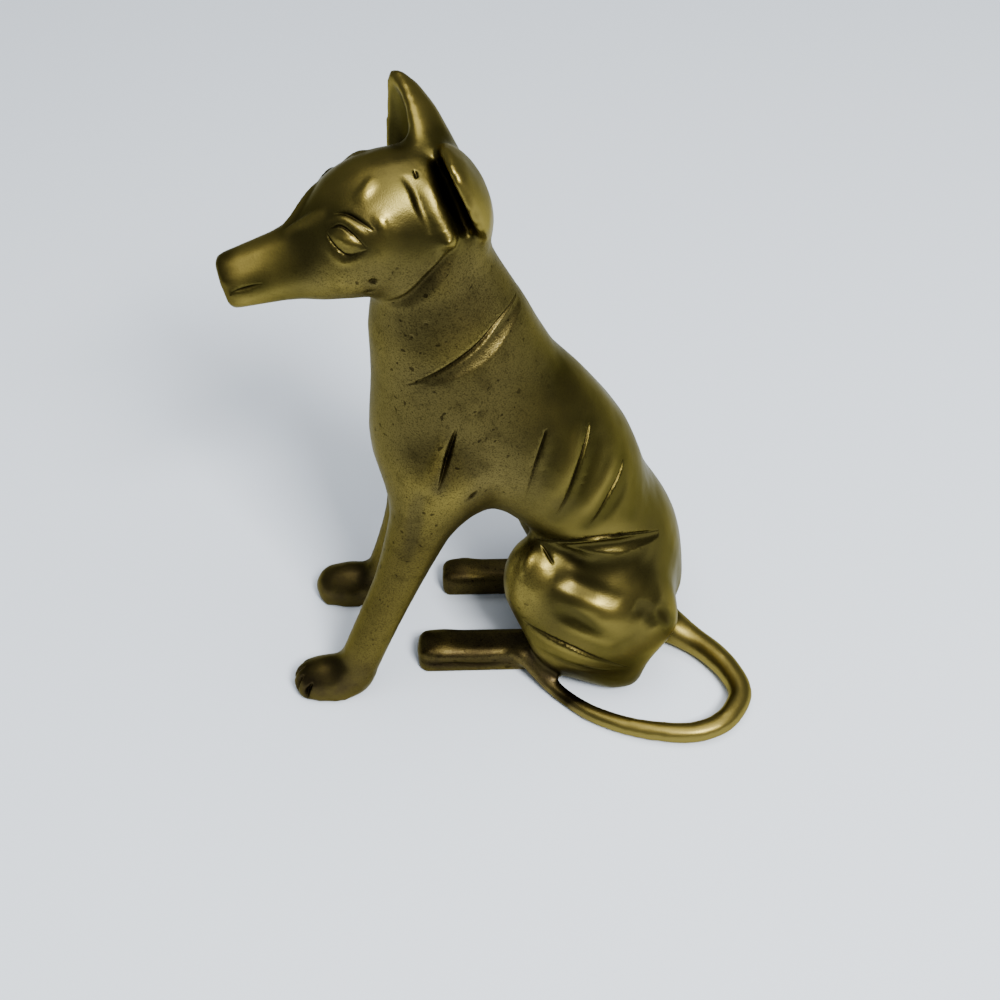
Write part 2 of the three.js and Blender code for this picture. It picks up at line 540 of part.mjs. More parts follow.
// Thins a closed mesh out by collapsing the edges that change its form least, and keeps it closed.
function thinOut({ points, triangles }, target) {
  const count = points.length / 3;
  const pos = Float64Array.from(points);
  const faces = Int32Array.from(triangles);
  const alive = new Uint8Array(faces.length / 3).fill(1);
  const around = Array.from({ length: count }, () => new Set());
  const quadric = new Float64Array(count * 10);
  const normalOf = (a, b, c) => {
    const ux = pos[3 * b] - pos[3 * a];
    const uy = pos[3 * b + 1] - pos[3 * a + 1];
    const uz = pos[3 * b + 2] - pos[3 * a + 2];
    const vx = pos[3 * c] - pos[3 * a];
    const vy = pos[3 * c + 1] - pos[3 * a + 1];
    const vz = pos[3 * c + 2] - pos[3 * a + 2];
    return [uy * vz - uz * vy, uz * vx - ux * vz, ux * vy - uy * vx];
  };
  const addPlane = (v, n, d, w) => {
    const q = 10 * v;
    const [x, y, z] = n;
    const parts = [x * x, x * y, x * z, x * d, y * y, y * z, y * d, z * z, z * d, d * d];
    for (let i = 0; i < 10; i++) quadric[q + i] += parts[i] * w;
  };
  let left = 0;
  for (let f = 0; f < faces.length / 3; f++) {
    const [a, b, c] = [faces[3 * f], faces[3 * f + 1], faces[3 * f + 2]];
    const n = normalOf(a, b, c);
    const size = hypot(...n) || 1e-12;
    const unit = n.map((t) => t / size);
    const d = -(unit[0] * pos[3 * a] + unit[1] * pos[3 * a + 1] + unit[2] * pos[3 * a + 2]);
    for (const v of [a, b, c]) {
      around[v].add(f);
      addPlane(v, unit, d, size);
    }
    left++;
  }
  const errorAt = (u, v, x, y, z) => {
    const s = (i) => quadric[10 * u + i] + quadric[10 * v + i];
    return (
      s(0) * x * x + 2 * s(1) * x * y + 2 * s(2) * x * z + 2 * s(3) * x + s(4) * y * y +
      2 * s(5) * y * z + 2 * s(6) * y + s(7) * z * z + 2 * s(8) * z + s(9)
    );
  };
  const bestPoint = (u, v) => {
    const ends = [u, v].map((m) => [pos[3 * m], pos[3 * m + 1], pos[3 * m + 2]]);
    const middle = ends[0].map((t, i) => (t + ends[1][i]) / 2);
    const s = (i) => quadric[10 * u + i] + quadric[10 * v + i];
    const m = new THREE.Matrix3().set(s(0), s(1), s(2), s(1), s(4), s(5), s(2), s(5), s(7));
    const scale = s(0) + s(4) + s(7);
    const choices = [middle, ...ends];
    if (abs(m.determinant()) > 1e-5 * scale * scale * scale) {
      const p = new THREE.Vector3(-s(3), -s(6), -s(8)).applyMatrix3(m.invert());
      const span = hypot(ends[0][0] - ends[1][0], ends[0][1] - ends[1][1], ends[0][2] - ends[1][2]);
      const shift = hypot(p.x - middle[0], p.y - middle[1], p.z - middle[2]);
      if (shift < 1.2 * span) choices.unshift([p.x, p.y, p.z]);
    }
    let best = null;
    for (const c of choices) {
      const e = max(errorAt(u, v, ...c), 0);
      if (!best || e < best.e) best = { e, c };
    }
    const apart = [0, 1, 2].map((i) => ends[0][i] - ends[1][i]);
    best.e += 2e-3 * hypot(...apart) ** 2;
    return best;
  };
  const heap = [];
  const push = (item) => {
    let i = heap.push(item) - 1;
    while (i > 0) {
      const parent = (i - 1) >> 1;
      if (heap[parent].e <= heap[i].e) break;
      [heap[parent], heap[i]] = [heap[i], heap[parent]];
      i = parent;
    }
  };
  const pop = () => {
    const top = heap[0];
    const last = heap.pop();
    if (heap.length) {
      heap[0] = last;
      let i = 0;
      for (;;) {
        let next = 2 * i + 1;
        if (next >= heap.length) break;
        if (next + 1 < heap.length && heap[next + 1].e < heap[next].e) next++;
        if (heap[i].e <= heap[next].e) break;
        [heap[next], heap[i]] = [heap[i], heap[next]];
        i = next;
      }
    }
    return top;
  };
  const age = new Int32Array(count);
  const gone = new Uint8Array(count);
  const neighbours = (v) => {
    const set = new Set();
    for (const f of around[v]) {
      for (let i = 0; i < 3; i++) if (faces[3 * f + i] !== v) set.add(faces[3 * f + i]);
    }
    return set;
  };
  const offer = (u, v) => {
    const best = bestPoint(u, v);
    push({ e: best.e, c: best.c, u, v, stamp: age[u] + age[v] });
  };
  for (let v = 0; v < count; v++) for (const u of neighbours(v)) if (v < u) offer(v, u);
  const turns = (v, other, c) => {
    for (const f of around[v]) {
      if (around[other].has(f)) continue;
      const ids = [faces[3 * f], faces[3 * f + 1], faces[3 * f + 2]];
      const before = normalOf(...ids);
      const kept = [pos[3 * v], pos[3 * v + 1], pos[3 * v + 2]];
      [pos[3 * v], pos[3 * v + 1], pos[3 * v + 2]] = c;
      const after = normalOf(...ids);
      [pos[3 * v], pos[3 * v + 1], pos[3 * v + 2]] = kept;
      const dot = before[0] * after[0] + before[1] * after[1] + before[2] * after[2];
      if (dot < 0.35 * hypot(...before) * hypot(...after) || hypot(...after) < 1e-6) return true;
    }
    return false;
  };
  while (left > target && heap.length) {
    const { c, u, v, stamp } = pop();
    if (gone[u] || gone[v] || stamp !== age[u] + age[v]) continue;
    const shared = [...around[u]].filter((f) => around[v].has(f));
    if (shared.length !== 2) continue;
    const nu = neighbours(u);
    let common = 0;
    for (const w of neighbours(v)) if (nu.has(w)) common++;
    if (common !== 2 || turns(u, v, c) || turns(v, u, c)) continue;
    [pos[3 * u], pos[3 * u + 1], pos[3 * u + 2]] = c;
    for (let i = 0; i < 10; i++) quadric[10 * u + i] += quadric[10 * v + i];
    for (const f of shared) {
      alive[f] = 0;
      left--;
      for (let i = 0; i < 3; i++) around[faces[3 * f + i]].delete(f);
    }
    for (const f of around[v]) {
      for (let i = 0; i < 3; i++) if (faces[3 * f + i] === v) faces[3 * f + i] = u;
      around[u].add(f);
    }
    gone[v] = 1;
    age[u] += age[v] + 1;
    for (const w of neighbours(u)) offer(min(u, w), max(u, w));
  }
  const kept = [];
  for (let f = 0; f < faces.length / 3; f++) {
    if (alive[f]) kept.push(faces[3 * f], faces[3 * f + 1], faces[3 * f + 2]);
  }
  return { pos, kept };
}

const wasm = await Module();
wasm.setup();

// A closed three.js geometry as a solid for joining and cutting.
function solid(geometry) {
  geometry.deleteAttribute("normal");
  geometry.deleteAttribute("uv");
  const merged = mergeVertices(geometry, 1e-4);
  return new wasm.Manifold(
    new wasm.Mesh({
      numProp: 3,
      vertProperties: Float32Array.from(merged.attributes.position.array),
      triVerts: Uint32Array.from(merged.index.array),
    }),
  );
}

const thinned = thinOut(relax(meshField(GRID_STEP), 2), TRIANGLES);
const raw = new THREE.BufferGeometry();
raw.setAttribute("position", new THREE.BufferAttribute(Float32Array.from(thinned.pos), 3));
raw.setIndex(thinned.kept);
let dog = solid(raw);

// The soles, haunches and tail are filed flat on the resting plane.
const below = new THREE.BoxGeometry(400, 400, 100).translate(0, 0, -50);
dog = dog.subtract(solid(below));

// Moves a point onto the surface of the field, along the field's own slope.
function settle(point) {
  const p = point.clone();
  const h = 0.2;
  const slope = new THREE.Vector3();
  for (let i = 0; i < 8; i++) {
    const d = field(p.x, p.y, p.z);
    slope.set(
      field(p.x + h, p.y, p.z) - field(p.x - h, p.y, p.z),
      field(p.x, p.y + h, p.z) - field(p.x, p.y - h, p.z),
      field(p.x, p.y, p.z + h) - field(p.x, p.y, p.z - h),
    );
    const steep = slope.length() / (2 * h) || 1;
    slope.normalize();
    p.addScaledVector(slope, -d / steep);
  }
  return { point: p, normal: slope };
}

// A V groove along a line on the surface. It is widest and deepest in the middle and runs out at both ends.
const ABOVE = 0.8; // mm the cutter stands out of the surface
function groove(line, width, depth, sections = 9) {
  const curve = new THREE.CatmullRomCurve3(line);
  const rings = [];
  for (let i = 0; i < sections; i++) {
    const t = i / (sections - 1);
    const { point, normal } = settle(curve.getPoint(t));
    const along = curve.getTangent(t);
    const across = new THREE.Vector3().crossVectors(normal, along).normalize();
    const swell = max(sqrt(sin(PI * t)), 0.12);
    const deep = depth * swell;
    const half = (width / 2) * swell * (1 + ABOVE / deep);
    const top = point.clone().addScaledVector(normal, ABOVE);
    rings.push([
      top.clone().addScaledVector(across, min(half, width)),
      top.clone().addScaledVector(across, -min(half, width)),
      point.clone().addScaledVector(normal, -deep),
    ]);
  }
  const positions = rings.flat().flatMap((v) => v.toArray());
  const index = [0, 1, 2];
  for (let i = 0; i + 1 < sections; i++) {
    for (let j = 0; j < 3; j++) {
      const a = 3 * i + j;
      const b = 3 * i + ((j + 1) % 3);
      index.push(a, a + 3, b, b, a + 3, b + 3);
    }
  }
  const end = 3 * (sections - 1);
  index.push(end, end + 2, end + 1);
  const shape = new THREE.BufferGeometry();
  shape.setAttribute("position", new THREE.BufferAttribute(Float32Array.from(positions), 3));
  shape.setIndex(index);
  const made = solid(shape);
  if (made.volume() > 0) return made;
  for (let i = 0; i < index.length; i += 3) [index[i + 1], index[i + 2]] = [index[i + 2], index[i + 1]];
  shape.setIndex(index);
  return solid(shape);
}

// Lines on the left side of the body, mirrored to the right side about the body's middle plane.
const BODY_MIDDLE = -1 * K;
const bodyLines = [
  [
    [at(-17.4, -14.1, 81.8), at(-12.2, -14.4, 85.5), at(-6.8, -13.3, 89), at(1, -6, 93)],
    LINE_WIDTH,
    LINE_DEPTH,
  ],
  [[at(-10.6, -16.1, 73), at(-11.6, -17.5, 67), at(-12.5, -18.8, 61.5)], SLIT_WIDTH, SLIT_DEPTH],
  [[at(8.6, -11.5, 70.5), at(6, -15, 61.5), at(2.1, -16.5, 52.3)], LINE_WIDTH, LINE_DEPTH],
  [[at(15.5, -8.1, 64.7), at(12.8, -14, 56), at(8.2, -16.6, 47.5)], LINE_WIDTH, LINE_DEPTH],
  [[at(22.5, -6, 55), at(19.5, -13, 49.5), at(14.5, -15.9, 45.3)], LINE_WIDTH, LINE_DEPTH],
  [
    [at(4.2, -15.5, 40.9), at(12.3, -16.6, 41.2), at(20.5, -15.8, 41.1), at(29.6, -10.5, 38.2)],
    LINE_WIDTH * 1.2,
    LINE_DEPTH,
  ],
];
for (const [line, width, depth] of bodyLines) {
  dog = dog.subtract(groove(line, width, depth));
  const mirrored = line.map((p) => new THREE.Vector3(p.x, 2 * BODY_MIDDLE - p.y, p.z));
  dog = dog.subtract(groove(mirrored, width, depth));
}

// Lines of the face, from the middle of the skull: the eye's upper and lower edge, the lid and the mouth.
const faceLines = [
  [[[10.4, 7.1, 4.9], [8.3, 8.2, 6.3], [6.2, 9.6, 5.2], [4, 11.2, 2.7]], LINE_WIDTH * 0.7],
  [[[10.4, 7.1, 4.9], [9.6, 8.8, 3.1], [7.4, 10.3, 1.4], [4, 11.2, 2.7]], LINE_WIDTH * 0.7],
  [[[8.6, 6.2, 7.5], [6.7, 7.5, 7.9], [4.6, 9.3, 7.1], [2.7, 10.6, 5.8]], LINE_WIDTH * 0.8],
  [[[27.6, 4.4, -6.6], [25, 5, -5.9], [22, 5.4, -5.1]], LINE_WIDTH * 0.6],
];
for (const s of [NEAR, FAR]) {
  for (const [line, width] of faceLines) {
    dog = dog.subtract(groove(line.map(([f, o, u]) => onFace(s, f, o, u)), width, LINE_DEPTH * 0.7, 7));
  }
}

const result = dog.getMesh();
const geometry = new THREE.BufferGeometry();
geometry.setAttribute("position", new THREE.BufferAttribute(Float32Array.from(result.vertProperties), 3));
geometry.setIndex(new THREE.BufferAttribute(Uint32Array.from(result.triVerts), 1));
geometry.computeBoundingBox();
const centre = geometry.boundingBox.getCenter(new THREE.Vector3());
geometry.translate(-centre.x, -centre.y, -geometry.boundingBox.min.z);
geometry.computeVertexNormals();

const brass = new THREE.MeshStandardMaterial({ color: 0x8a7433, metalness: 1, roughness: 0.4 });
const figure = new THREE.Mesh(geometry, brass);
figure.name = "greyhound";
const root = new THREE.Group();
root.add(figure);
export default root;
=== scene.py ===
"""Seated greyhound figurine in cast brass: the fine surface, the finish and the stage."""

import json
import math

import bpy
import numpy as np
from mathutils import Matrix, Vector

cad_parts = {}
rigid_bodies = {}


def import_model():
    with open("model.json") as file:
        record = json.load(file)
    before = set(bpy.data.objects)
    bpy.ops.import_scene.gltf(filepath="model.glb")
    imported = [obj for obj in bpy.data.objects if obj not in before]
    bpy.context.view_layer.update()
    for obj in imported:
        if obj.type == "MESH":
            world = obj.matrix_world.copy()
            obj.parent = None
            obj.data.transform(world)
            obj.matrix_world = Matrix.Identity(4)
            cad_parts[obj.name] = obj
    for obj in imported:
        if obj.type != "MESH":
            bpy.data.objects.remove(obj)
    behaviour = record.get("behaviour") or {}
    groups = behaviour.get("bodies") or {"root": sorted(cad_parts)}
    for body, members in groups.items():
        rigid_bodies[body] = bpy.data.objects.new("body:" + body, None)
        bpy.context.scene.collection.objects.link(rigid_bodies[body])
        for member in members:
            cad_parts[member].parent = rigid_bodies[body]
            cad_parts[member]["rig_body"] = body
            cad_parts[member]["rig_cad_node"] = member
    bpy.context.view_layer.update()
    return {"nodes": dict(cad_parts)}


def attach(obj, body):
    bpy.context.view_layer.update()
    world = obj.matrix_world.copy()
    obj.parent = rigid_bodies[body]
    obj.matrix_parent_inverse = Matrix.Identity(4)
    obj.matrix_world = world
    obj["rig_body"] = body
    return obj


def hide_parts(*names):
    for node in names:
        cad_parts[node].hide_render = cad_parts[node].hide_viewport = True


bl_info = {
    "name": "Brass Greyhound",
    "version": (1, 0, 0),
    "blender": (4, 5, 0),
    "location": "View3D > Sidebar > Greyhound",
    "description": "Builds the fine brass surface of a seated greyhound figurine",
    "category": "Object",
}

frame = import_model()
NODE = "greyhound"
MM = 0.001

# The points below are in mm, as the solid's source gives them before it is centred.
CENTRE = Vector((0.2, -5.3, 0.0))
BODY_MIDDLE = -1.0
HEAD_TURN = math.radians(12)
SKULL = Vector((-21.5, -3.1, 109.4))
FORWARD = Vector((-math.cos(HEAD_TURN), -math.sin(HEAD_TURN), 0))
ASIDE = Vector((-math.sin(HEAD_TURN), math.cos(HEAD_TURN), 0))
NEAR = -1
FAR = 1


def place(point):
    """A point of the dog in the part's frame, in metres."""
    return (Vector(point) - CENTRE) * MM


def place_across(point):
    """The same point on the other side of the body."""
    x, y, z = point
    return place((x, 2 * BODY_MIDDLE - y, z))


def place_on_face(side, steps):
    """A point of the head, in steps forward, out to one side and up from the middle of the skull."""
    forward, out, up = steps
    return place(SKULL + FORWARD * forward + ASIDE * (side * out) + Vector((0, 0, up)))


# Marks on both sides of the body, given for the left: form, half width and depth in mm, and points.
# A line is a V cut, a facet is scooped, a notch is a scoop that holds dirt, a step falls off on one
# side of its line, and hollows and ridges are soft.
BODY_MARKS = [
    # The collar line round the neck, with the facet filed off along its front.
    ("line", 0.7, 0.85, [
        (-18.9, -13.2, 81.3), (-12.4, -14.4, 85.1), (-5.9, -12.9, 89.3), (-1.4, -9.5, 92.8),
        (1.7, -2.7, 93.8),
    ]),
    ("facet", 2.1, 0.55, [
        (-15.5, -14, 82.6), (-10, -14.2, 85.6), (-5, -12.8, 88.4), (-0.6, -9, 91.6), (1.9, -3, 92.6),
    ]),
    # The shoulder's slit, the soft valley down the foreleg and the elbow.
    ("line", 0.75, 1.05, [(-9.7, -16, 73.3), (-11.7, -16.5, 66.5), (-13.8, -19.3, 60.2)]),
    ("ridge", 2, 0.35, [(-11.5, -16, 73.5), (-13.8, -16.5, 66.5), (-15.5, -19, 61)]),
    ("hollow", 2.4, 0.5, [(-16.4, -18.5, 60.5), (-18, -18, 54), (-19.7, -17.5, 45.2), (-21.7, -17.6, 39)]),
    ("line", 0.7, 0.4, [(-6.3, -17.5, 58.4), (-8.3, -18.1, 56.5)]),
    # Three ribs: a thin cut, and a soft hollow behind each.
    ("line", 0.48, 0.55, [(7.2, -14, 70.5), (6.6, -14.4, 68.8), (4.6, -16.2, 62.6), (2.3, -15.6, 52.3)]),
    ("line", 0.48, 0.55, [
        (15.9, -9.6, 68), (14.9, -10.6, 66.2), (12.7, -14.8, 60.6), (10.8, -16.4, 55), (8.3, -16.4, 48.8),
    ]),
    ("line", 0.48, 0.55, [(22.5, -8.6, 57.5), (21.7, -10.1, 55.8), (19, -14, 52.4), (14.7, -16.3, 46.2)]),
    ("hollow", 2.8, 0.24, [(9, -13.6, 69), (7.2, -15.9, 62.6), (5, -15.6, 53.5)]),
    ("hollow", 2.8, 0.24, [(17, -9.8, 66), (15.2, -14, 60.6), (13, -16, 55), (11, -16.2, 50)]),
    ("hollow", 2.8, 0.2, [(23.8, -9, 56), (21.4, -13.4, 52), (17.6, -15.9, 47.5)]),
    ("ridge", 2, 0.24, [(13.6, -10.5, 69.5), (11.5, -14, 62.5), (9, -16, 54.5)]),
    ("ridge", 2, 0.24, [(20.4, -9.5, 59.5), (17.6, -13.6, 55.5), (13.6, -16, 49.5)]),
    # The line across the flank, with a leaf-shaped facet under it, and the crease over the knee.
    ("line", 0.65, 1, [
        (5, -11.2, 38.4), (9.3, -13.8, 40.1), (14.6, -16, 42.3), (20, -15.3, 42.3), (25.5, -12.4, 40.3),
        (30.4, -8.2, 36.9),
    ]),
    ("facet", 1.8, 1, [
        (10.9, -14.3, 39.4), (15.7, -15.8, 40.2), (20.3, -15.5, 40), (26, -12.7, 38.8), (30.3, -8.7, 36.3),
    ]),
    ("line", 0.45, 0.6, [(5.9, -12.5, 38), (7.1, -14.2, 37), (8.5, -16.1, 35.3)]),
    ("ridge", 1.3, 0.6, [(4.3, -13.4, 36.9), (3, -15, 35.4), (1.9, -16.6, 32.7)]),
    # The haunch: two long muscles, the valleys between them and the two lines along the foot of it.
    ("ridge", 5, 0.65, [
        (8.2, -19.3, 30.6), (12.6, -19.8, 29.6), (17, -21.4, 28.4), (20.3, -22.8, 25.3),
        (22.9, -23.7, 20.6),
    ]),
    ("hollow", 2.6, 0.5, [(8.4, -17.6, 33.6), (12.6, -18.4, 32.2), (17, -19.8, 30.9), (21.5, -21.4, 28.6)]),
    ("hollow", 2.4, 0.3, [(7.4, -20.6, 27.2), (12.8, -22.2, 26), (18.4, -23.3, 22.6)]),
    ("ridge", 1.8, 0.32, [(8.7, -21.5, 24.1), (15.6, -23.7, 22.1), (20.8, -24.2, 19.3)]),
    ("line", 0.7, 0.75, [
        (1.6, -18.1, 21.7), (6.5, -21.1, 20), (12.2, -23.6, 18.2), (17.8, -24.4, 15.2), (23.7, -23.6, 11.7),
    ]),
    ("ridge", 1.2, 0.24, [(1.4, -18, 20.4), (6.3, -21, 18.4), (12.2, -23.6, 16.6), (17.8, -24.4, 14)]),
    ("hollow", 1, 0.35, [
        (4.5, -19.4, 14.5), (8.2, -22, 13.8), (12.3, -23.4, 12.4), (18, -24, 11), (23.3, -23.7, 10.6),
    ]),
    ("hollow", 2.6, 0.7, [(24.8, -21.6, 28), (27.4, -20.3, 25.6), (28.2, -20.4, 21)]),
    # The step along the hind foot.
    ("line", 0.7, 0.55, [(-20.6, -13.6, 3), (-14, -14.8, 3), (-7.4, -14.6, 2.5), (0.2, -14.9, 3.2)]),
    ("ridge", 0.9, 0.17, [(-20, -14, 4.8), (-12, -14.8, 4.7), (-5, -14.8, 4.6)]),
]

# Marks on the left side only: the gaps between the toes and the dark facet at the tail's root.
LEFT_MARKS = [
    ("line", 0.8, 1.25, [(-44.2, -15.6, 6.6), (-46.2, -15.4, 4.6), (-47.2, -15.4, 1)]),
    ("line", 0.8, 1.25, [(-44.8, -17.5, 6.6), (-47, -17.6, 4.4), (-48, -17.6, 1)]),
    ("line", 0.8, 1.25, [(-44.6, -19.2, 6), (-46.6, -19.9, 4), (-47.3, -20.2, 1)]),
    ("line", 0.8, 1.25, [(-43, -20.6, 5.4), (-44.6, -21.8, 3.4), (-45, -22.2, 1)]),
    ("notch", 2, 0.4, [(29.6, -19.5, 25.4), (31.2, -19.4, 22.6), (32.6, -19.2, 19.6)]),
]

# Marks on both sides of the face, in steps forward, out and up from the middle of the skull.
FACE_MARKS = [
    # The eye between its two edges, with a raised rim, and the lid over it.
    ("line", 0.42, 0.5, [(10.4, 7.1, 4.9), (8.3, 8.2, 6.3), (6.2, 9.6, 5.2), (4, 11.2, 2.7)]),
    ("line", 0.42, 0.5, [(10.4, 7.1, 4.9), (9.6, 8.8, 3.1), (7.4, 10.3, 1.4), (4, 11.2, 2.7)]),
    ("ridge", 0.95, 0.35, [(9.3, 7.9, 4.8), (7, 9.4, 3.9), (5, 10.6, 3)]),
    ("ridge", 0.7, 0.35, [(10.6, 6.6, 6.3), (8.3, 7.4, 7.3), (6, 9, 6.5), (3.6, 10.7, 4.2)]),
    ("ridge", 0.8, 0.3, [(10.9, 8.4, 2), (8.2, 10.2, -0.2), (4.6, 11.3, 1.2)]),
    ("line", 0.5, 0.5, [(8.6, 6.2, 7.5), (6.7, 7.5, 7.9), (4.6, 9.3, 7.1), (2.7, 10.6, 5.8)]),
    # The mouth, the brow, the cheek and the step of the jaw.
    ("line", 0.45, 0.5, [(27.6, 4.4, -6.6), (25, 5, -5.9), (22, 5.4, -5.1)]),
    ("ridge", 1.3, 0.5, [(4.8, 6.7, 9.4), (2.9, 5.9, 10.8), (1.1, 4.2, 12)]),
    ("ridge", 1.2, 0.45, [(1.9, 8.8, 8.1), (1.1, 10.1, 6.6), (0.5, 10.8, 4.7)]),
    ("step", 3, 1.5, [
        (-10.1, 8.6, 1.4), (-8, 8.6, -2.4), (-5.2, 9.7, -5.6), (-1.9, 8.9, -9.3), (1.4, 6.1, -12.2),
    ]),
    # The edge between the top and the side of the muzzle, in front of the eye.
    ("ridge", 1.6, 0.75, [(17, 1.2, 0.6), (14.9, 1.6, 2.6), (12.1, 3.6, 5.4), (9.8, 5.1, 7.2)]),
]

# The same on the left side of the face only.
LEFT_FACE_MARKS = [
    # The step in front of the ear.
    ("step", 3.6, 0.8, [(-3.2, 4.8, 12.2), (-4.5, 7, 10.4), (-5.4, 9.2, 7.4), (-6.9, 10.8, 3.3)]),
    # The casting flaw over the cheek.
    ("line", 0.5, 0.5, [(-5.6, 3.9, 12.2), (-5.9, 4.7, 11.6), (-5.6, 5.3, 11.2)]),
]

STEP_EDGE = 1.6  # width of a step's edge, mm
SOFT_FORMS = ("ridge", "hollow")
SHARP_FORMS = ("line", "facet", "notch", "step")
DIRT_HELD = {"line": 1, "step": 0.6, "notch": 0.9}
SOFT_TAPER = 0.8  # how soft and sharp marks die away at their ends: lower is blunter
SHARP_TAPER = 0.7
NARROWEST = 0.22  # share of its width that a sharp mark keeps at its ends
MARK_MARGIN = 3  # how far beyond a mark its distance is still measured, mm
FACING = 0.1  # a mark reaches only faces that look its way
NOWHERE = 1e3  # a distance in mm beyond any mark

PIT_DEPTH = 0.45  # share of a pit's radius
PIT_DIRT = 4  # dirt for each mm a pit is deep

# Casting pits on the left cheek, neck, shoulder and ribs: point and radius in mm.
PITS = [
    ((-22.9, -13.5, 104.6), 1.1),
    ((-23.7, -12.3, 101.6), 0.9),
    ((-19.5, -13, 106.5), 0.45),
    ((-27, -12, 105.5), 0.4),
    ((-14.6, -13.8, 95), 0.5),
    ((-11, -13.9, 91.5), 0.45),
    ((-17.4, -13.4, 92), 0.5),
    ((-5.5, -15, 76), 0.4),
    ((-9.5, -16, 79), 0.4),
    ((1, -16, 57.5), 0.45),
]

# How the solid's facets and grooves are smoothed before the relief is cut.
FACET_SMOOTHING = 0.5
GROOVE_SMOOTHING = 0.8
GROOVE_PASSES = 16
GROOVE_REACH = 1.8  # mm
WELD = 1e-6  # m
THIN_REACH = 0.1  # the band beside a thin line whose faces are split twice, mm
WEAR_PASSES = 60
WEAR_KEPT = 0.3  # share of its own place that a point keeps in each pass
LEAST_WEIGHT = 0.004

# Where the finish changes, in mm in the part's frame: from nothing to all of it.
SKIN_X = (14, -4)
HIND_X = (-4, 12)
HEAD_Z = (114, 103)
MUZZLE_X = (-38, -28)
CHEST_Z = (20, 45)
# Painted shade on the legs.
LEG_SHADE_Z = (62, 40)
LEG_SHADE_X = (4, -8)
# Painted shade on the flat end of the nose, which faces down away from the lamps.
NOSE_SHADE_Z = (80, 90)
NOSE_SHADE_X = (-45.5, -48.5)
GROUND_Z = (16, 5)
GROUND_X = (22, 8)
# Painted shadow low on the haunch, where it meets the floor.
SEAT_SHADE_Z = (17, 6)
SEAT_SHADE_X = (6, 11)
RUMP_SHADE_X = (31, 26)
HAUNCH_SHADE_Y = (-21.5, -20)

FLOOR_FALL_Y = (-90, -170)  # mm
FLOOR_DROP = 0.2  # mm
AIM = (0, 0, 50)  # mm
# The lamps: name, place in mm, width in mm and power in W.
LAMPS = (
    ("lamp", (270, -500, 680), 240, 12.5),
    ("ceiling", (100, -100, 1100), 1000, 11),
)
ROOM_LIGHT = 0.42

# The photo's view: place in mm, and the picture's right, up and back.
EYE = (-1.728, -214.064, 253.397)
EYE_RIGHT = (0.999739, -0.014371, -0.017753)
EYE_UP = (0.022738, 0.699625, 0.714148)
EYE_BACK = (0.002157, -0.714365, 0.699770)


def curve_points(points, steps=36):
    """Points close together on a smooth line through the given ones."""
    rows = [Vector(p) for p in points]
    rows = [rows[0] * 2 - rows[1], *rows, rows[-1] * 2 - rows[-2]]
    fine = []
    for a, b, c, d in zip(rows, rows[1:], rows[2:], rows[3:]):
        for i in range(steps):
            t = i / steps
            fine.append(
                0.5
                * (
                    2 * b
                    + (c - a) * t
                    + (2 * a - 5 * b + 4 * c - d) * t * t
                    + (3 * b - a - 3 * c + d) * t * t * t
                )
            )
    fine.append(rows[-2])
    return fine


def mark_depth(form, q, side):
    """Height of a mark's section, as a share of its depth, at q half widths from its line.

    side is the distance in mm from the line, below zero on the side that a step leaves as it is.
    """
    q = np.clip(q, 0, 1)
    if form == "line":
        return q - 1
    if form == "hollow":
        return -((1 - q**2) ** 2)
    if form == "ridge":
        return (1 - q**2) ** 2
    if form == "step":
        return -np.clip(0.5 + side / STEP_EDGE, 0, 1) * (1 - q) ** 1.5
    return q**2 - 1


def vectors(obj, name):
    """A vector of each point of the mesh, as rows."""
    values = np.empty(len(obj.data.vertices) * 3)
    obj.data.vertices.foreach_get(name, values)
    return values.reshape(-1, 3)


def relief_of(obj, marks):
    """Four numbers for each point: how far in mm it is raised, its distances to the nearest sharp
    mark and to the nearest thin line, and how much dirt lies there."""
    co, no = vectors(obj, "co"), vectors(obj, "normal")
    height = np.zeros(len(co))
    nearest = np.full(len(co), NOWHERE)
    thin = np.full(len(co), NOWHERE)
    dirt = np.zeros(len(co))
    for form, half, depth, points in marks:
        line, outward = [], []
        for p in curve_points(points):
            found, at, normal, _ = obj.closest_point_on_mesh(p)
            if not found:
                raise RuntimeError("a mark lies off the figure")
            line.append(at)
            outward.append(normal)
        line, outward = np.array(line), np.array(outward)
        sideways = np.cross(outward, np.gradient(line, axis=0))
        reach = (half + MARK_MARGIN) * MM
        low, high = line.min(0) - reach, line.max(0) + reach
        ids = np.flatnonzero(((co > low) & (co < high)).all(1))
        if not len(ids):
            continue
        apart = co[ids][:, None, :] - line[None, :, :]
        distance = np.sqrt((apart**2).sum(2))
        k = distance.argmin(1)
        own = np.arange(len(ids)), k
        d = distance[own] / MM
        facing = (no[ids] * outward[k]).sum(1) > FACING
        t = k / (len(line) - 1)
        soft = form in SOFT_FORMS
        swell = np.sin(np.pi * np.clip(t, 0, 1)) ** (SOFT_TAPER if soft else SHARP_TAPER)
        q = d / (half if soft else half * (NARROWEST + (1 - NARROWEST) * swell))
        side = d * np.sign((apart[own] * sideways[k]).sum(1))
        part = mark_depth(form, q, side) * depth * swell
        height[ids] += np.where(facing, part, 0)
        beyond = np.where(facing, d - half, NOWHERE)
        if form in SHARP_FORMS:
            nearest[ids] = np.minimum(nearest[ids], beyond)
        if form == "line":
            thin[ids] = np.minimum(thin[ids], beyond)
        if form in DIRT_HELD:
            lies = np.where(facing & (part < 0), np.clip(1.1 - q, 0, 1) * swell * DIRT_HELD[form], 0)
            dirt[ids] = np.maximum(dirt[ids], lies)
    return height, nearest, thin, dirt


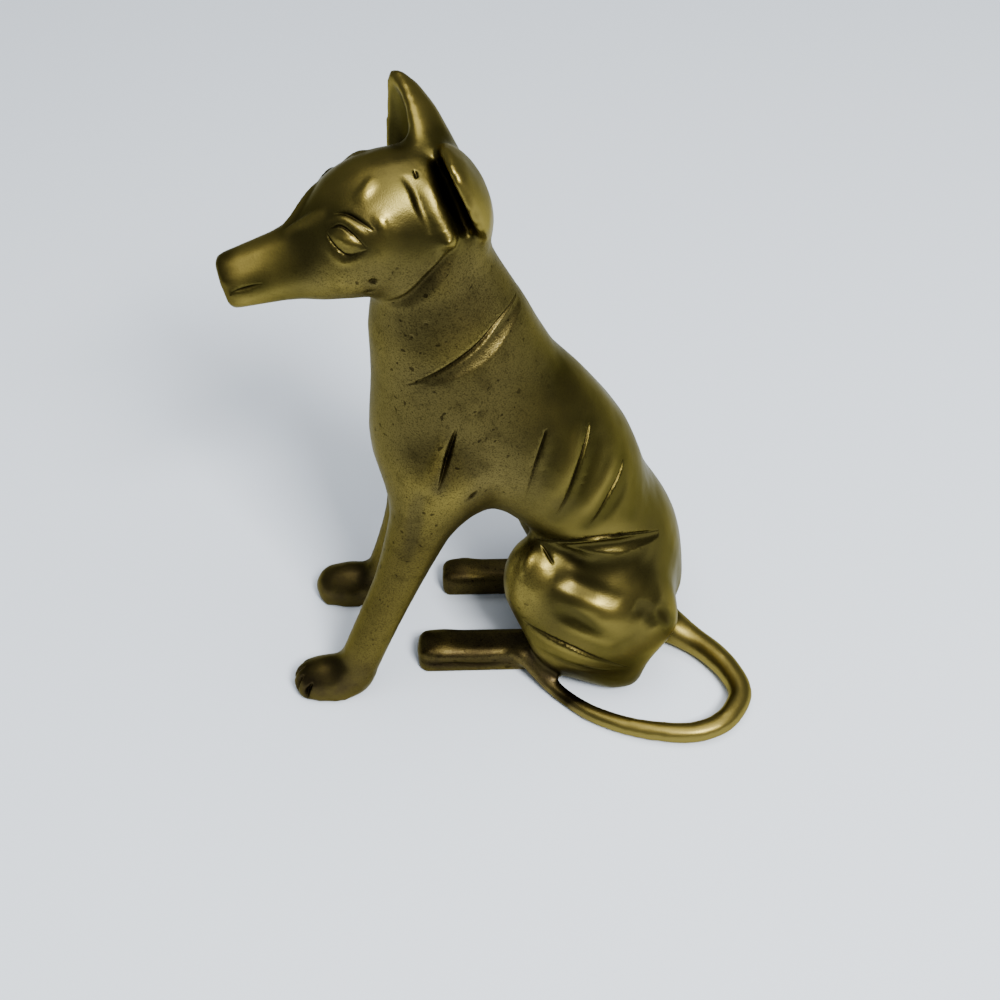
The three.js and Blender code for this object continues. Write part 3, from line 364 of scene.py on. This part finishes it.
def pits_of(obj):
    """How far in mm each point is sunk by a casting pit, and its distance to the nearest pit's rim."""
    co = vectors(obj, "co")
    sunk = np.zeros(len(co))
    rim = np.full(len(co), NOWHERE)
    for point, radius in PITS:
        found, at, _, _ = obj.closest_point_on_mesh(place(point))
        if not found:
            raise RuntimeError("a pit lies off the figure")
        d = np.linalg.norm(co - np.array(at), axis=1) / MM
        sunk += PIT_DEPTH * radius * (1 - np.clip(d / radius, 0, 1) ** 2) ** 2
        rim = np.minimum(rim, d - radius)
    return sunk, rim


def standing_out(obj, passes):
    """How far in mm each point stands out of the smoothed form around it."""
    co, no = vectors(obj, "co"), vectors(obj, "normal")
    count = len(co)
    ends = np.empty(len(obj.data.edges) * 2, int)
    obj.data.edges.foreach_get("vertices", ends)
    a, b = ends[0::2], ends[1::2]
    degree = np.bincount(ends, minlength=count)[:, None] + 1e-9
    soft = co.copy()
    for _ in range(passes):
        total = np.empty_like(soft)
        for i in range(3):
            total[:, i] = np.bincount(a, soft[b, i], count) + np.bincount(b, soft[a, i], count)
        soft = WEAR_KEPT * soft + (1 - WEAR_KEPT) * total / degree
    return ((co - soft) * no).sum(1) / MM


def store(obj, name, values):
    """A number at each point of the mesh, for the material to read."""
    attribute = obj.data.attributes.new(name, "FLOAT", "POINT")
    attribute.data.foreach_set("value", np.asarray(values, np.float32))


def all_marks():
    """Every mark with its points in the part's frame; those of the other side run the other way."""
    rows = []
    for form, half, depth, points in BODY_MARKS:
        rows.append((form, half, depth, [place(p) for p in points]))
        rows.append((form, half, depth, [place_across(p) for p in reversed(points)]))
    for form, half, depth, points in LEFT_MARKS:
        rows.append((form, half, depth, [place(p) for p in points]))
    for form, half, depth, points in FACE_MARKS:
        rows.append((form, half, depth, [place_on_face(NEAR, p) for p in points]))
        rows.append((form, half, depth, [place_on_face(FAR, p) for p in reversed(points)]))
    for form, half, depth, points in LEFT_FACE_MARKS:
        rows.append((form, half, depth, [place_on_face(NEAR, p) for p in points]))
    return rows


def linear(text):
    """An sRGB hex colour as linear red, green and blue."""
    parts = [int(text[i : i + 2], 16) / 255 for i in (0, 2, 4)]
    return [c / 12.92 if c <= 0.04045 else ((c + 0.055) / 1.055) ** 2.4 for c in parts]


class GreyhoundCasting(bpy.types.PropertyGroup):
    mesh_size: bpy.props.FloatProperty(
        name="Mesh Size",
        description="Size of the fine mesh's faces",
        default=0.75 * MM,
        unit="LENGTH",
        precision=5,
    )
    passes: bpy.props.IntProperty(
        name="Smoothing", description="Smoothing passes over the solid's facets", default=6, min=0
    )
    detail: bpy.props.FloatProperty(
        name="Fine Zone",
        description="Width of the finer mesh beside each mark",
        default=0.5 * MM,
        unit="LENGTH",
        precision=5,
    )


class GreyhoundFinish(bpy.types.PropertyGroup):
    brass: bpy.props.FloatVectorProperty(
        name="Brass",
        description="Rubbed brass on the high places",
        subtype="COLOR",
        size=3,
        default=linear("7E7036"),
    )
    patina: bpy.props.FloatVectorProperty(
        name="Patina",
        description="Brown olive patina",
        subtype="COLOR",
        size=3,
        default=linear("4F4723"),
    )
    green: bpy.props.FloatVectorProperty(
        name="Green",
        description="Greener patina in patches",
        subtype="COLOR",
        size=3,
        default=linear("4E471E"),
    )
    earth: bpy.props.FloatVectorProperty(
        name="Earth",
        description="Reddish brown near the ground",
        subtype="COLOR",
        size=3,
        default=linear("41352A"),
    )
    skin: bpy.props.FloatVectorProperty(
        name="Cast Skin",
        description="Paler grainy skin on neck and shoulder",
        subtype="COLOR",
        size=3,
        default=linear("665B33"),
    )
    edge: bpy.props.FloatVectorProperty(
        name="Edge Tint",
        description="Reflection at a grazing angle",
        subtype="COLOR",
        size=3,
        default=linear("D2CEBA"),
    )
    # Dark brown of the low places, also used as painted shade on the legs, the nose's end and the haunch's
    # foot.
    shade: bpy.props.FloatVectorProperty(
        name="Shade",
        description="Dark brown in the low places",
        subtype="COLOR",
        size=3,
        default=linear("1B150A"),
    )


class GreyhoundStage(bpy.types.PropertyGroup):
    floor_size: bpy.props.FloatProperty(
        name="Floor", description="Width of the floor", default=4.0, unit="LENGTH"
    )
    floor: bpy.props.FloatVectorProperty(
        name="Floor Colour",
        description="Pale floor",
        subtype="COLOR",
        size=3,
        default=linear("E6EEF7"),
    )
    shade: bpy.props.FloatVectorProperty(
        name="Floor Shade",
        description="Shaded floor in front",
        subtype="COLOR",
        size=3,
        default=linear("5C6064"),
    )
    room: bpy.props.FloatVectorProperty(
        name="Room Colour",
        description="Light of the room",
        subtype="COLOR",
        size=3,
        default=linear("C6CFDB"),
    )
    lens: bpy.props.FloatProperty(
        name="Lens", description="Focal length of the camera", default=52.92, unit="CAMERA"
    )


def apply_modifier(obj, kind, **settings):
    """Adds a modifier with these settings and applies it."""
    modifier = obj.modifiers.new(kind.title(), kind)
    for key, value in settings.items():
        setattr(modifier, key, value)
    bpy.context.view_layer.objects.active = obj
    bpy.ops.object.modifier_apply(modifier=modifier.name)


def only(obj):
    """Selects this object alone."""
    bpy.ops.object.select_all(action="DESELECT")
    obj.select_set(True)
    bpy.context.view_layer.objects.active = obj


def weigh(obj, name, weights):
    """A vertex group with the given weight at each point."""
    group = obj.vertex_groups.new(name=name)
    for i in np.flatnonzero(weights > LEAST_WEIGHT):
        group.add([int(i)], float(weights[i]), "REPLACE")
    return group.name


def refine(obj, wanted):
    """Splits each face whose points are all wanted into four."""
    mesh = obj.data
    flags = np.zeros(len(mesh.polygons), bool)
    for i, polygon in enumerate(mesh.polygons):
        flags[i] = all(wanted[v] for v in polygon.vertices)
    mesh.polygons.foreach_set("select", flags)
    mesh.vertices.foreach_set("select", np.zeros(len(mesh.vertices), bool))
    mesh.edges.foreach_set("select", np.zeros(len(mesh.edges), bool))
    only(obj)
    bpy.context.tool_settings.mesh_select_mode = (False, False, True)
    bpy.ops.object.mode_set(mode="EDIT")
    bpy.ops.mesh.subdivide(number_cuts=1, smoothness=0)
    bpy.ops.object.mode_set(mode="OBJECT")


class OBJECT_OT_greyhound_casting(bpy.types.Operator):
    """Make the figure's fine surface from a copy of its solid"""

    bl_idname = "object.greyhound_casting"
    bl_label = "Casting"

    def execute(self, context):
        settings = context.scene.greyhound_casting
        node = frame["nodes"][NODE]
        only(node)
        bpy.ops.object.duplicate()
        dog = context.active_object
        dog.name = "greyhound_cast"
        dog.data.name = "greyhound_cast"
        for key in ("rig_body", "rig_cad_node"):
            if key in dog:
                del dog[key]
        dog.parent = None
        dog.data.materials.clear()
        only(dog)
        bpy.ops.object.mode_set(mode="EDIT")
        bpy.ops.mesh.select_all(action="SELECT")
        bpy.ops.mesh.remove_doubles(threshold=WELD)
        bpy.ops.object.mode_set(mode="OBJECT")
        apply_modifier(dog, "REMESH", mode="VOXEL", voxel_size=settings.mesh_size)
        marks = all_marks()
        _, _, thin, _ = relief_of(dog, marks)
        old = weigh(dog, "old lines", np.clip(GROOVE_REACH - thin, 0, 1))
        apply_modifier(dog, "SMOOTH", factor=FACET_SMOOTHING, iterations=settings.passes)
        apply_modifier(dog, "SMOOTH", factor=GROOVE_SMOOTHING, iterations=GROOVE_PASSES, vertex_group=old)
        _, nearest, _, _ = relief_of(dog, marks)
        _, rim = pits_of(dog)
        refine(dog, np.minimum(nearest, rim) < settings.detail / MM)
        _, _, thin, _ = relief_of(dog, marks)
        refine(dog, thin < THIN_REACH)
        height, _, _, dirt = relief_of(dog, marks)
        sunk, _ = pits_of(dog)
        height -= sunk
        for name, share, sign in (("raised", height, 1), ("cut", -height, -1)):
            share = np.clip(share, 0, None)
            most = share.max()
            group = weigh(dog, name, share / most)
            strength = sign * most * MM
            apply_modifier(
                dog, "DISPLACE", strength=strength, mid_level=0, direction="NORMAL", vertex_group=group
            )
        co = vectors(dog, "co")
        co[:, 2] = np.maximum(co[:, 2], 0)
        dog.data.vertices.foreach_set("co", co.ravel())
        dog.vertex_groups.clear()
        store(dog, "standing_out", standing_out(dog, WEAR_PASSES))
        store(dog, "dirt", dirt + np.clip(sunk * PIT_DIRT, 0, 1))
        only(dog)
        bpy.ops.object.shade_smooth()
        dog.data.materials.append(patinated_brass(context.scene.greyhound_finish))
        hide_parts(NODE)
        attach(dog, "root")
        return {"FINISHED"}


def add_node(tree, kind, settings=None, links=None):
    """A node with its settings and sockets: a value, or another node's output to link."""
    node = tree.nodes.new(kind)
    for key, value in (settings or {}).items():
        setattr(node, key, value)
    for key, value in (links or {}).items():
        socket = node.inputs[key]
        if isinstance(value, bpy.types.NodeSocket):
            tree.links.new(value, socket)
        else:
            socket.default_value = value
    return node


def patinated_brass(finish):
    """Sand-cast yellow brass, filed and rubbed, under an old olive patina.

    The eye sees soft gloss on the rubbed high places, a grainy skin on neck, chest and shoulder
    where the sand was filed least, and brown in the low places. Shade is also painted into the
    colour on the legs, the flat end of the nose and the foot of the haunch.
    """
    material = bpy.data.materials.new("patinated cast brass")
    material.use_nodes = True
    tree = material.node_tree
    tree.nodes.clear()

    def noise(size, detail, vector):
        links = {"Vector": vector, "Scale": 1 / (size * MM), "Detail": detail, "Roughness": 0.6}
        return add_node(tree, "ShaderNodeTexNoise", {}, links).outputs["Fac"]

    def ramp(value, low, high, to_low=0.0, to_high=1.0):
        links = {"Value": value, "From Min": low, "From Max": high, "To Min": to_low, "To Max": to_high}
        node = add_node(tree, "ShaderNodeMapRange", {"interpolation_type": "SMOOTHSTEP"}, links)
        return node.outputs["Result"]

    def zone(axis, limits, to_low=0.0, to_high=1.0):
        return ramp(axes[axis], limits[0] * MM, limits[1] * MM, to_low, to_high)

    def times(a, b):
        return add_node(tree, "ShaderNodeMath", {"operation": "MULTIPLY"}, {0: a, 1: b}).outputs[0]

    def blend(share, a, b):
        return add_node(tree, "ShaderNodeMix", {"data_type": "RGBA"}, {0: share, 6: a, 7: b}).outputs[2]

    place_of = add_node(tree, "ShaderNodeTexCoord").outputs["Object"]
    axes = add_node(tree, "ShaderNodeSeparateXYZ", {}, {"Vector": place_of}).outputs
    stands = add_node(tree, "ShaderNodeAttribute", {"attribute_name": "standing_out"}).outputs["Fac"]
    dirt = add_node(tree, "ShaderNodeAttribute", {"attribute_name": "dirt"}).outputs["Fac"]
    # Patches of patina about 22 mm across, clouds of 4 mm, specks of 1 mm, and the sand's grain of
    # 0.3 mm, which is drawn coarser than real sand so that it shows.
    patches = noise(22, 4.0, place_of)
    grain = noise(0.3, 1.0, place_of)
    blots = noise(1.1, 0.0, place_of)
    clouds = noise(4, 3.0, place_of)
    # The front of the dog keeps its cast skin, and the hindquarters are filed smooth.
    # The top of the head and the muzzle are rubbed clean.
    head = times(zone("Z", HEAD_Z, 0.12, 1), zone("X", MUZZLE_X, 0.2, 1))
    front = times(zone("X", SKIN_X), head)
    low = times(zone("Z", GROUND_Z), zone("X", GROUND_X, 0.2, 1))
    shade = (*finish.shade, 1)
    colour = blend(ramp(patches, 0.4, 0.62), (*finish.patina, 1), (*finish.green, 1))
    colour = blend(times(zone("Z", CHEST_Z, 0, 0.8), front), colour, (*finish.skin, 1))
    colour = blend(zone("X", HIND_X, 0, 0.3), colour, shade)
    colour = blend(ramp(stands, 0.15, 0.85), colour, (*finish.brass, 1))
    colour = blend(times(ramp(clouds, 0.2, 0.7, 0.3, 0.7), low), colour, (*finish.earth, 1))
    colour = blend(times(ramp(clouds, 0.5, 0.7, 0, 0.3), front), colour, shade)
    colour = blend(times(ramp(grain, 0.42, 0.75, 0, 0.6), ramp(front, 0, 1, 0.12, 1)), colour, shade)
    colour = blend(times(ramp(blots, 0.765, 0.8, 0, 0.75), front), colour, shade)
    # Painted shade: the legs, the flat end of the nose and the foot of the haunch are darkened towards the
    # shade colour.
    colour = blend(times(zone("Z", LEG_SHADE_Z, 0, 0.55), zone("X", LEG_SHADE_X)), colour, shade)
    colour = blend(times(zone("Z", NOSE_SHADE_Z, 0, 0.6), zone("X", NOSE_SHADE_X)), colour, shade)
    # Painted shadow at the foot of the haunch.
    haunch = times(times(zone("X", SEAT_SHADE_X), zone("X", RUMP_SHADE_X)), zone("Y", HAUNCH_SHADE_Y))
    colour = blend(times(zone("Z", SEAT_SHADE_Z, 0, 0.9), haunch), colour, shade)
    colour = blend(ramp(stands, -0.15, -1, 0, 0.8), colour, shade)
    colour = blend(ramp(dirt, 0.1, 0.9, 0, 0.8), colour, shade)
    # The file leaves waves 5 mm long and 0.2 mm deep, and the sand a skin of 0.1 mm.
    links = {"Height": noise(5, 1.0, place_of), "Strength": 0.5, "Distance": 0.18 * MM}
    filed = add_node(tree, "ShaderNodeBump", {}, links)
    grained = add_node(
        tree,
        "ShaderNodeBump",
        {},
        {
            "Height": times(grain, ramp(front, 0, 1, 0.35, 1)),
            "Strength": 0.5,
            "Distance": 0.1 * MM,
            "Normal": filed.outputs["Normal"],
        },
    )
    shader = add_node(
        tree,
        "ShaderNodeBsdfPrincipled",
        {},
        {
            "Base Color": colour,
            "Metallic": 1.0,
            "Specular Tint": (*finish.edge, 1),
            "Roughness": ramp(times(patches, ramp(front, 0, 1, 0.75, 1)), 0.25, 0.65, 0.32, 0.46),
            "Normal": grained.outputs["Normal"],
        },
    )
    add_node(tree, "ShaderNodeOutputMaterial", {}, {"Surface": shader.outputs["BSDF"]})
    return material


def matt_paper(pale, shade):
    """Matt white paper that falls off into shade in front of the picture."""
    material = bpy.data.materials.new("matt paper")
    material.use_nodes = True
    tree = material.node_tree
    tree.nodes.clear()
    place_of = add_node(tree, "ShaderNodeTexCoord").outputs["Object"]
    axes = add_node(tree, "ShaderNodeSeparateXYZ", {}, {"Vector": place_of}).outputs
    links = {"Value": axes["Y"], "From Min": FLOOR_FALL_Y[0] * MM, "From Max": FLOOR_FALL_Y[1] * MM}
    fall = add_node(tree, "ShaderNodeMapRange", {"interpolation_type": "SMOOTHSTEP"}, links)
    links = {0: fall.outputs["Result"], 6: (*pale, 1), 7: (*shade, 1)}
    colour = add_node(tree, "ShaderNodeMix", {"data_type": "RGBA"}, links).outputs[2]
    shader = add_node(tree, "ShaderNodeBsdfPrincipled", {}, {"Base Color": colour, "Roughness": 0.8})
    add_node(tree, "ShaderNodeOutputMaterial", {}, {"Surface": shader.outputs["BSDF"]})
    return material


def area_lamp(name, point, width, power):
    """A square lamp that looks at the figure."""
    point, aim = Vector(point) * MM, Vector(AIM) * MM
    bpy.ops.object.light_add(type="AREA", location=point)
    lamp = bpy.context.active_object
    lamp.name = name
    lamp.data.name = name
    lamp.data.size = width * MM
    lamp.data.energy = power
    lamp.rotation_euler = (aim - point).to_track_quat("-Z", "Y").to_euler()


class OBJECT_OT_greyhound_stage(bpy.types.Operator):
    """Make the pale floor, the soft lamps and the camera"""

    bl_idname = "object.greyhound_stage"
    bl_label = "Stage"

    def execute(self, context):
        settings = context.scene.greyhound_stage
        bpy.ops.object.select_all(action="DESELECT")
        bpy.ops.mesh.primitive_plane_add(size=settings.floor_size, location=(0, 0, -FLOOR_DROP * MM))
        floor = context.active_object
        floor.name = "floor"
        floor.data.materials.append(matt_paper(settings.floor, settings.shade))
        for name, point, width, power in LAMPS:
            area_lamp(name, point, width, power)
        world = context.scene.world or bpy.data.worlds.new("room")
        context.scene.world = world
        world.use_nodes = True
        background = world.node_tree.nodes["Background"]
        background.inputs["Color"].default_value = (*settings.room, 1)
        background.inputs["Strength"].default_value = ROOM_LIGHT
        bpy.ops.object.camera_add(location=Vector(EYE) * MM)
        camera = context.active_object
        camera.name = "camera"
        turn = Matrix((EYE_RIGHT, EYE_UP, EYE_BACK)).transposed()
        camera.rotation_euler = turn.to_euler()
        camera.data.lens = settings.lens
        camera.data.sensor_width = 36
        camera.data.clip_start = 0.01
        context.scene.camera = camera
        return {"FINISHED"}


class VIEW3D_PT_greyhound(bpy.types.Panel):
    bl_label = "Greyhound"
    bl_idname = "VIEW3D_PT_greyhound"
    bl_space_type = "VIEW_3D"
    bl_region_type = "UI"
    bl_category = "Greyhound"

    def draw(self, context):
        layout = self.layout
        for name, operator in (
            ("greyhound_casting", "object.greyhound_casting"),
            ("greyhound_stage", "object.greyhound_stage"),
        ):
            group = getattr(context.scene, name)
            for key in group.__annotations__:
                layout.prop(group, key)
            layout.operator(operator)
        for key in context.scene.greyhound_finish.__annotations__:
            layout.prop(context.scene.greyhound_finish, key)


CLASSES = (
    GreyhoundCasting,
    GreyhoundFinish,
    GreyhoundStage,
    OBJECT_OT_greyhound_casting,
    OBJECT_OT_greyhound_stage,
    VIEW3D_PT_greyhound,
)


def register():
    for cls in CLASSES:
        bpy.utils.register_class(cls)
    bpy.types.Scene.greyhound_casting = bpy.props.PointerProperty(type=GreyhoundCasting)
    bpy.types.Scene.greyhound_finish = bpy.props.PointerProperty(type=GreyhoundFinish)
    bpy.types.Scene.greyhound_stage = bpy.props.PointerProperty(type=GreyhoundStage)


def unregister():
    del bpy.types.Scene.greyhound_stage
    del bpy.types.Scene.greyhound_finish
    del bpy.types.Scene.greyhound_casting
    for cls in reversed(CLASSES):
        bpy.utils.unregister_class(cls)


def main():
    register()
    bpy.ops.object.greyhound_casting()
    bpy.ops.object.greyhound_stage()


if __name__ == "__main__":
    main()
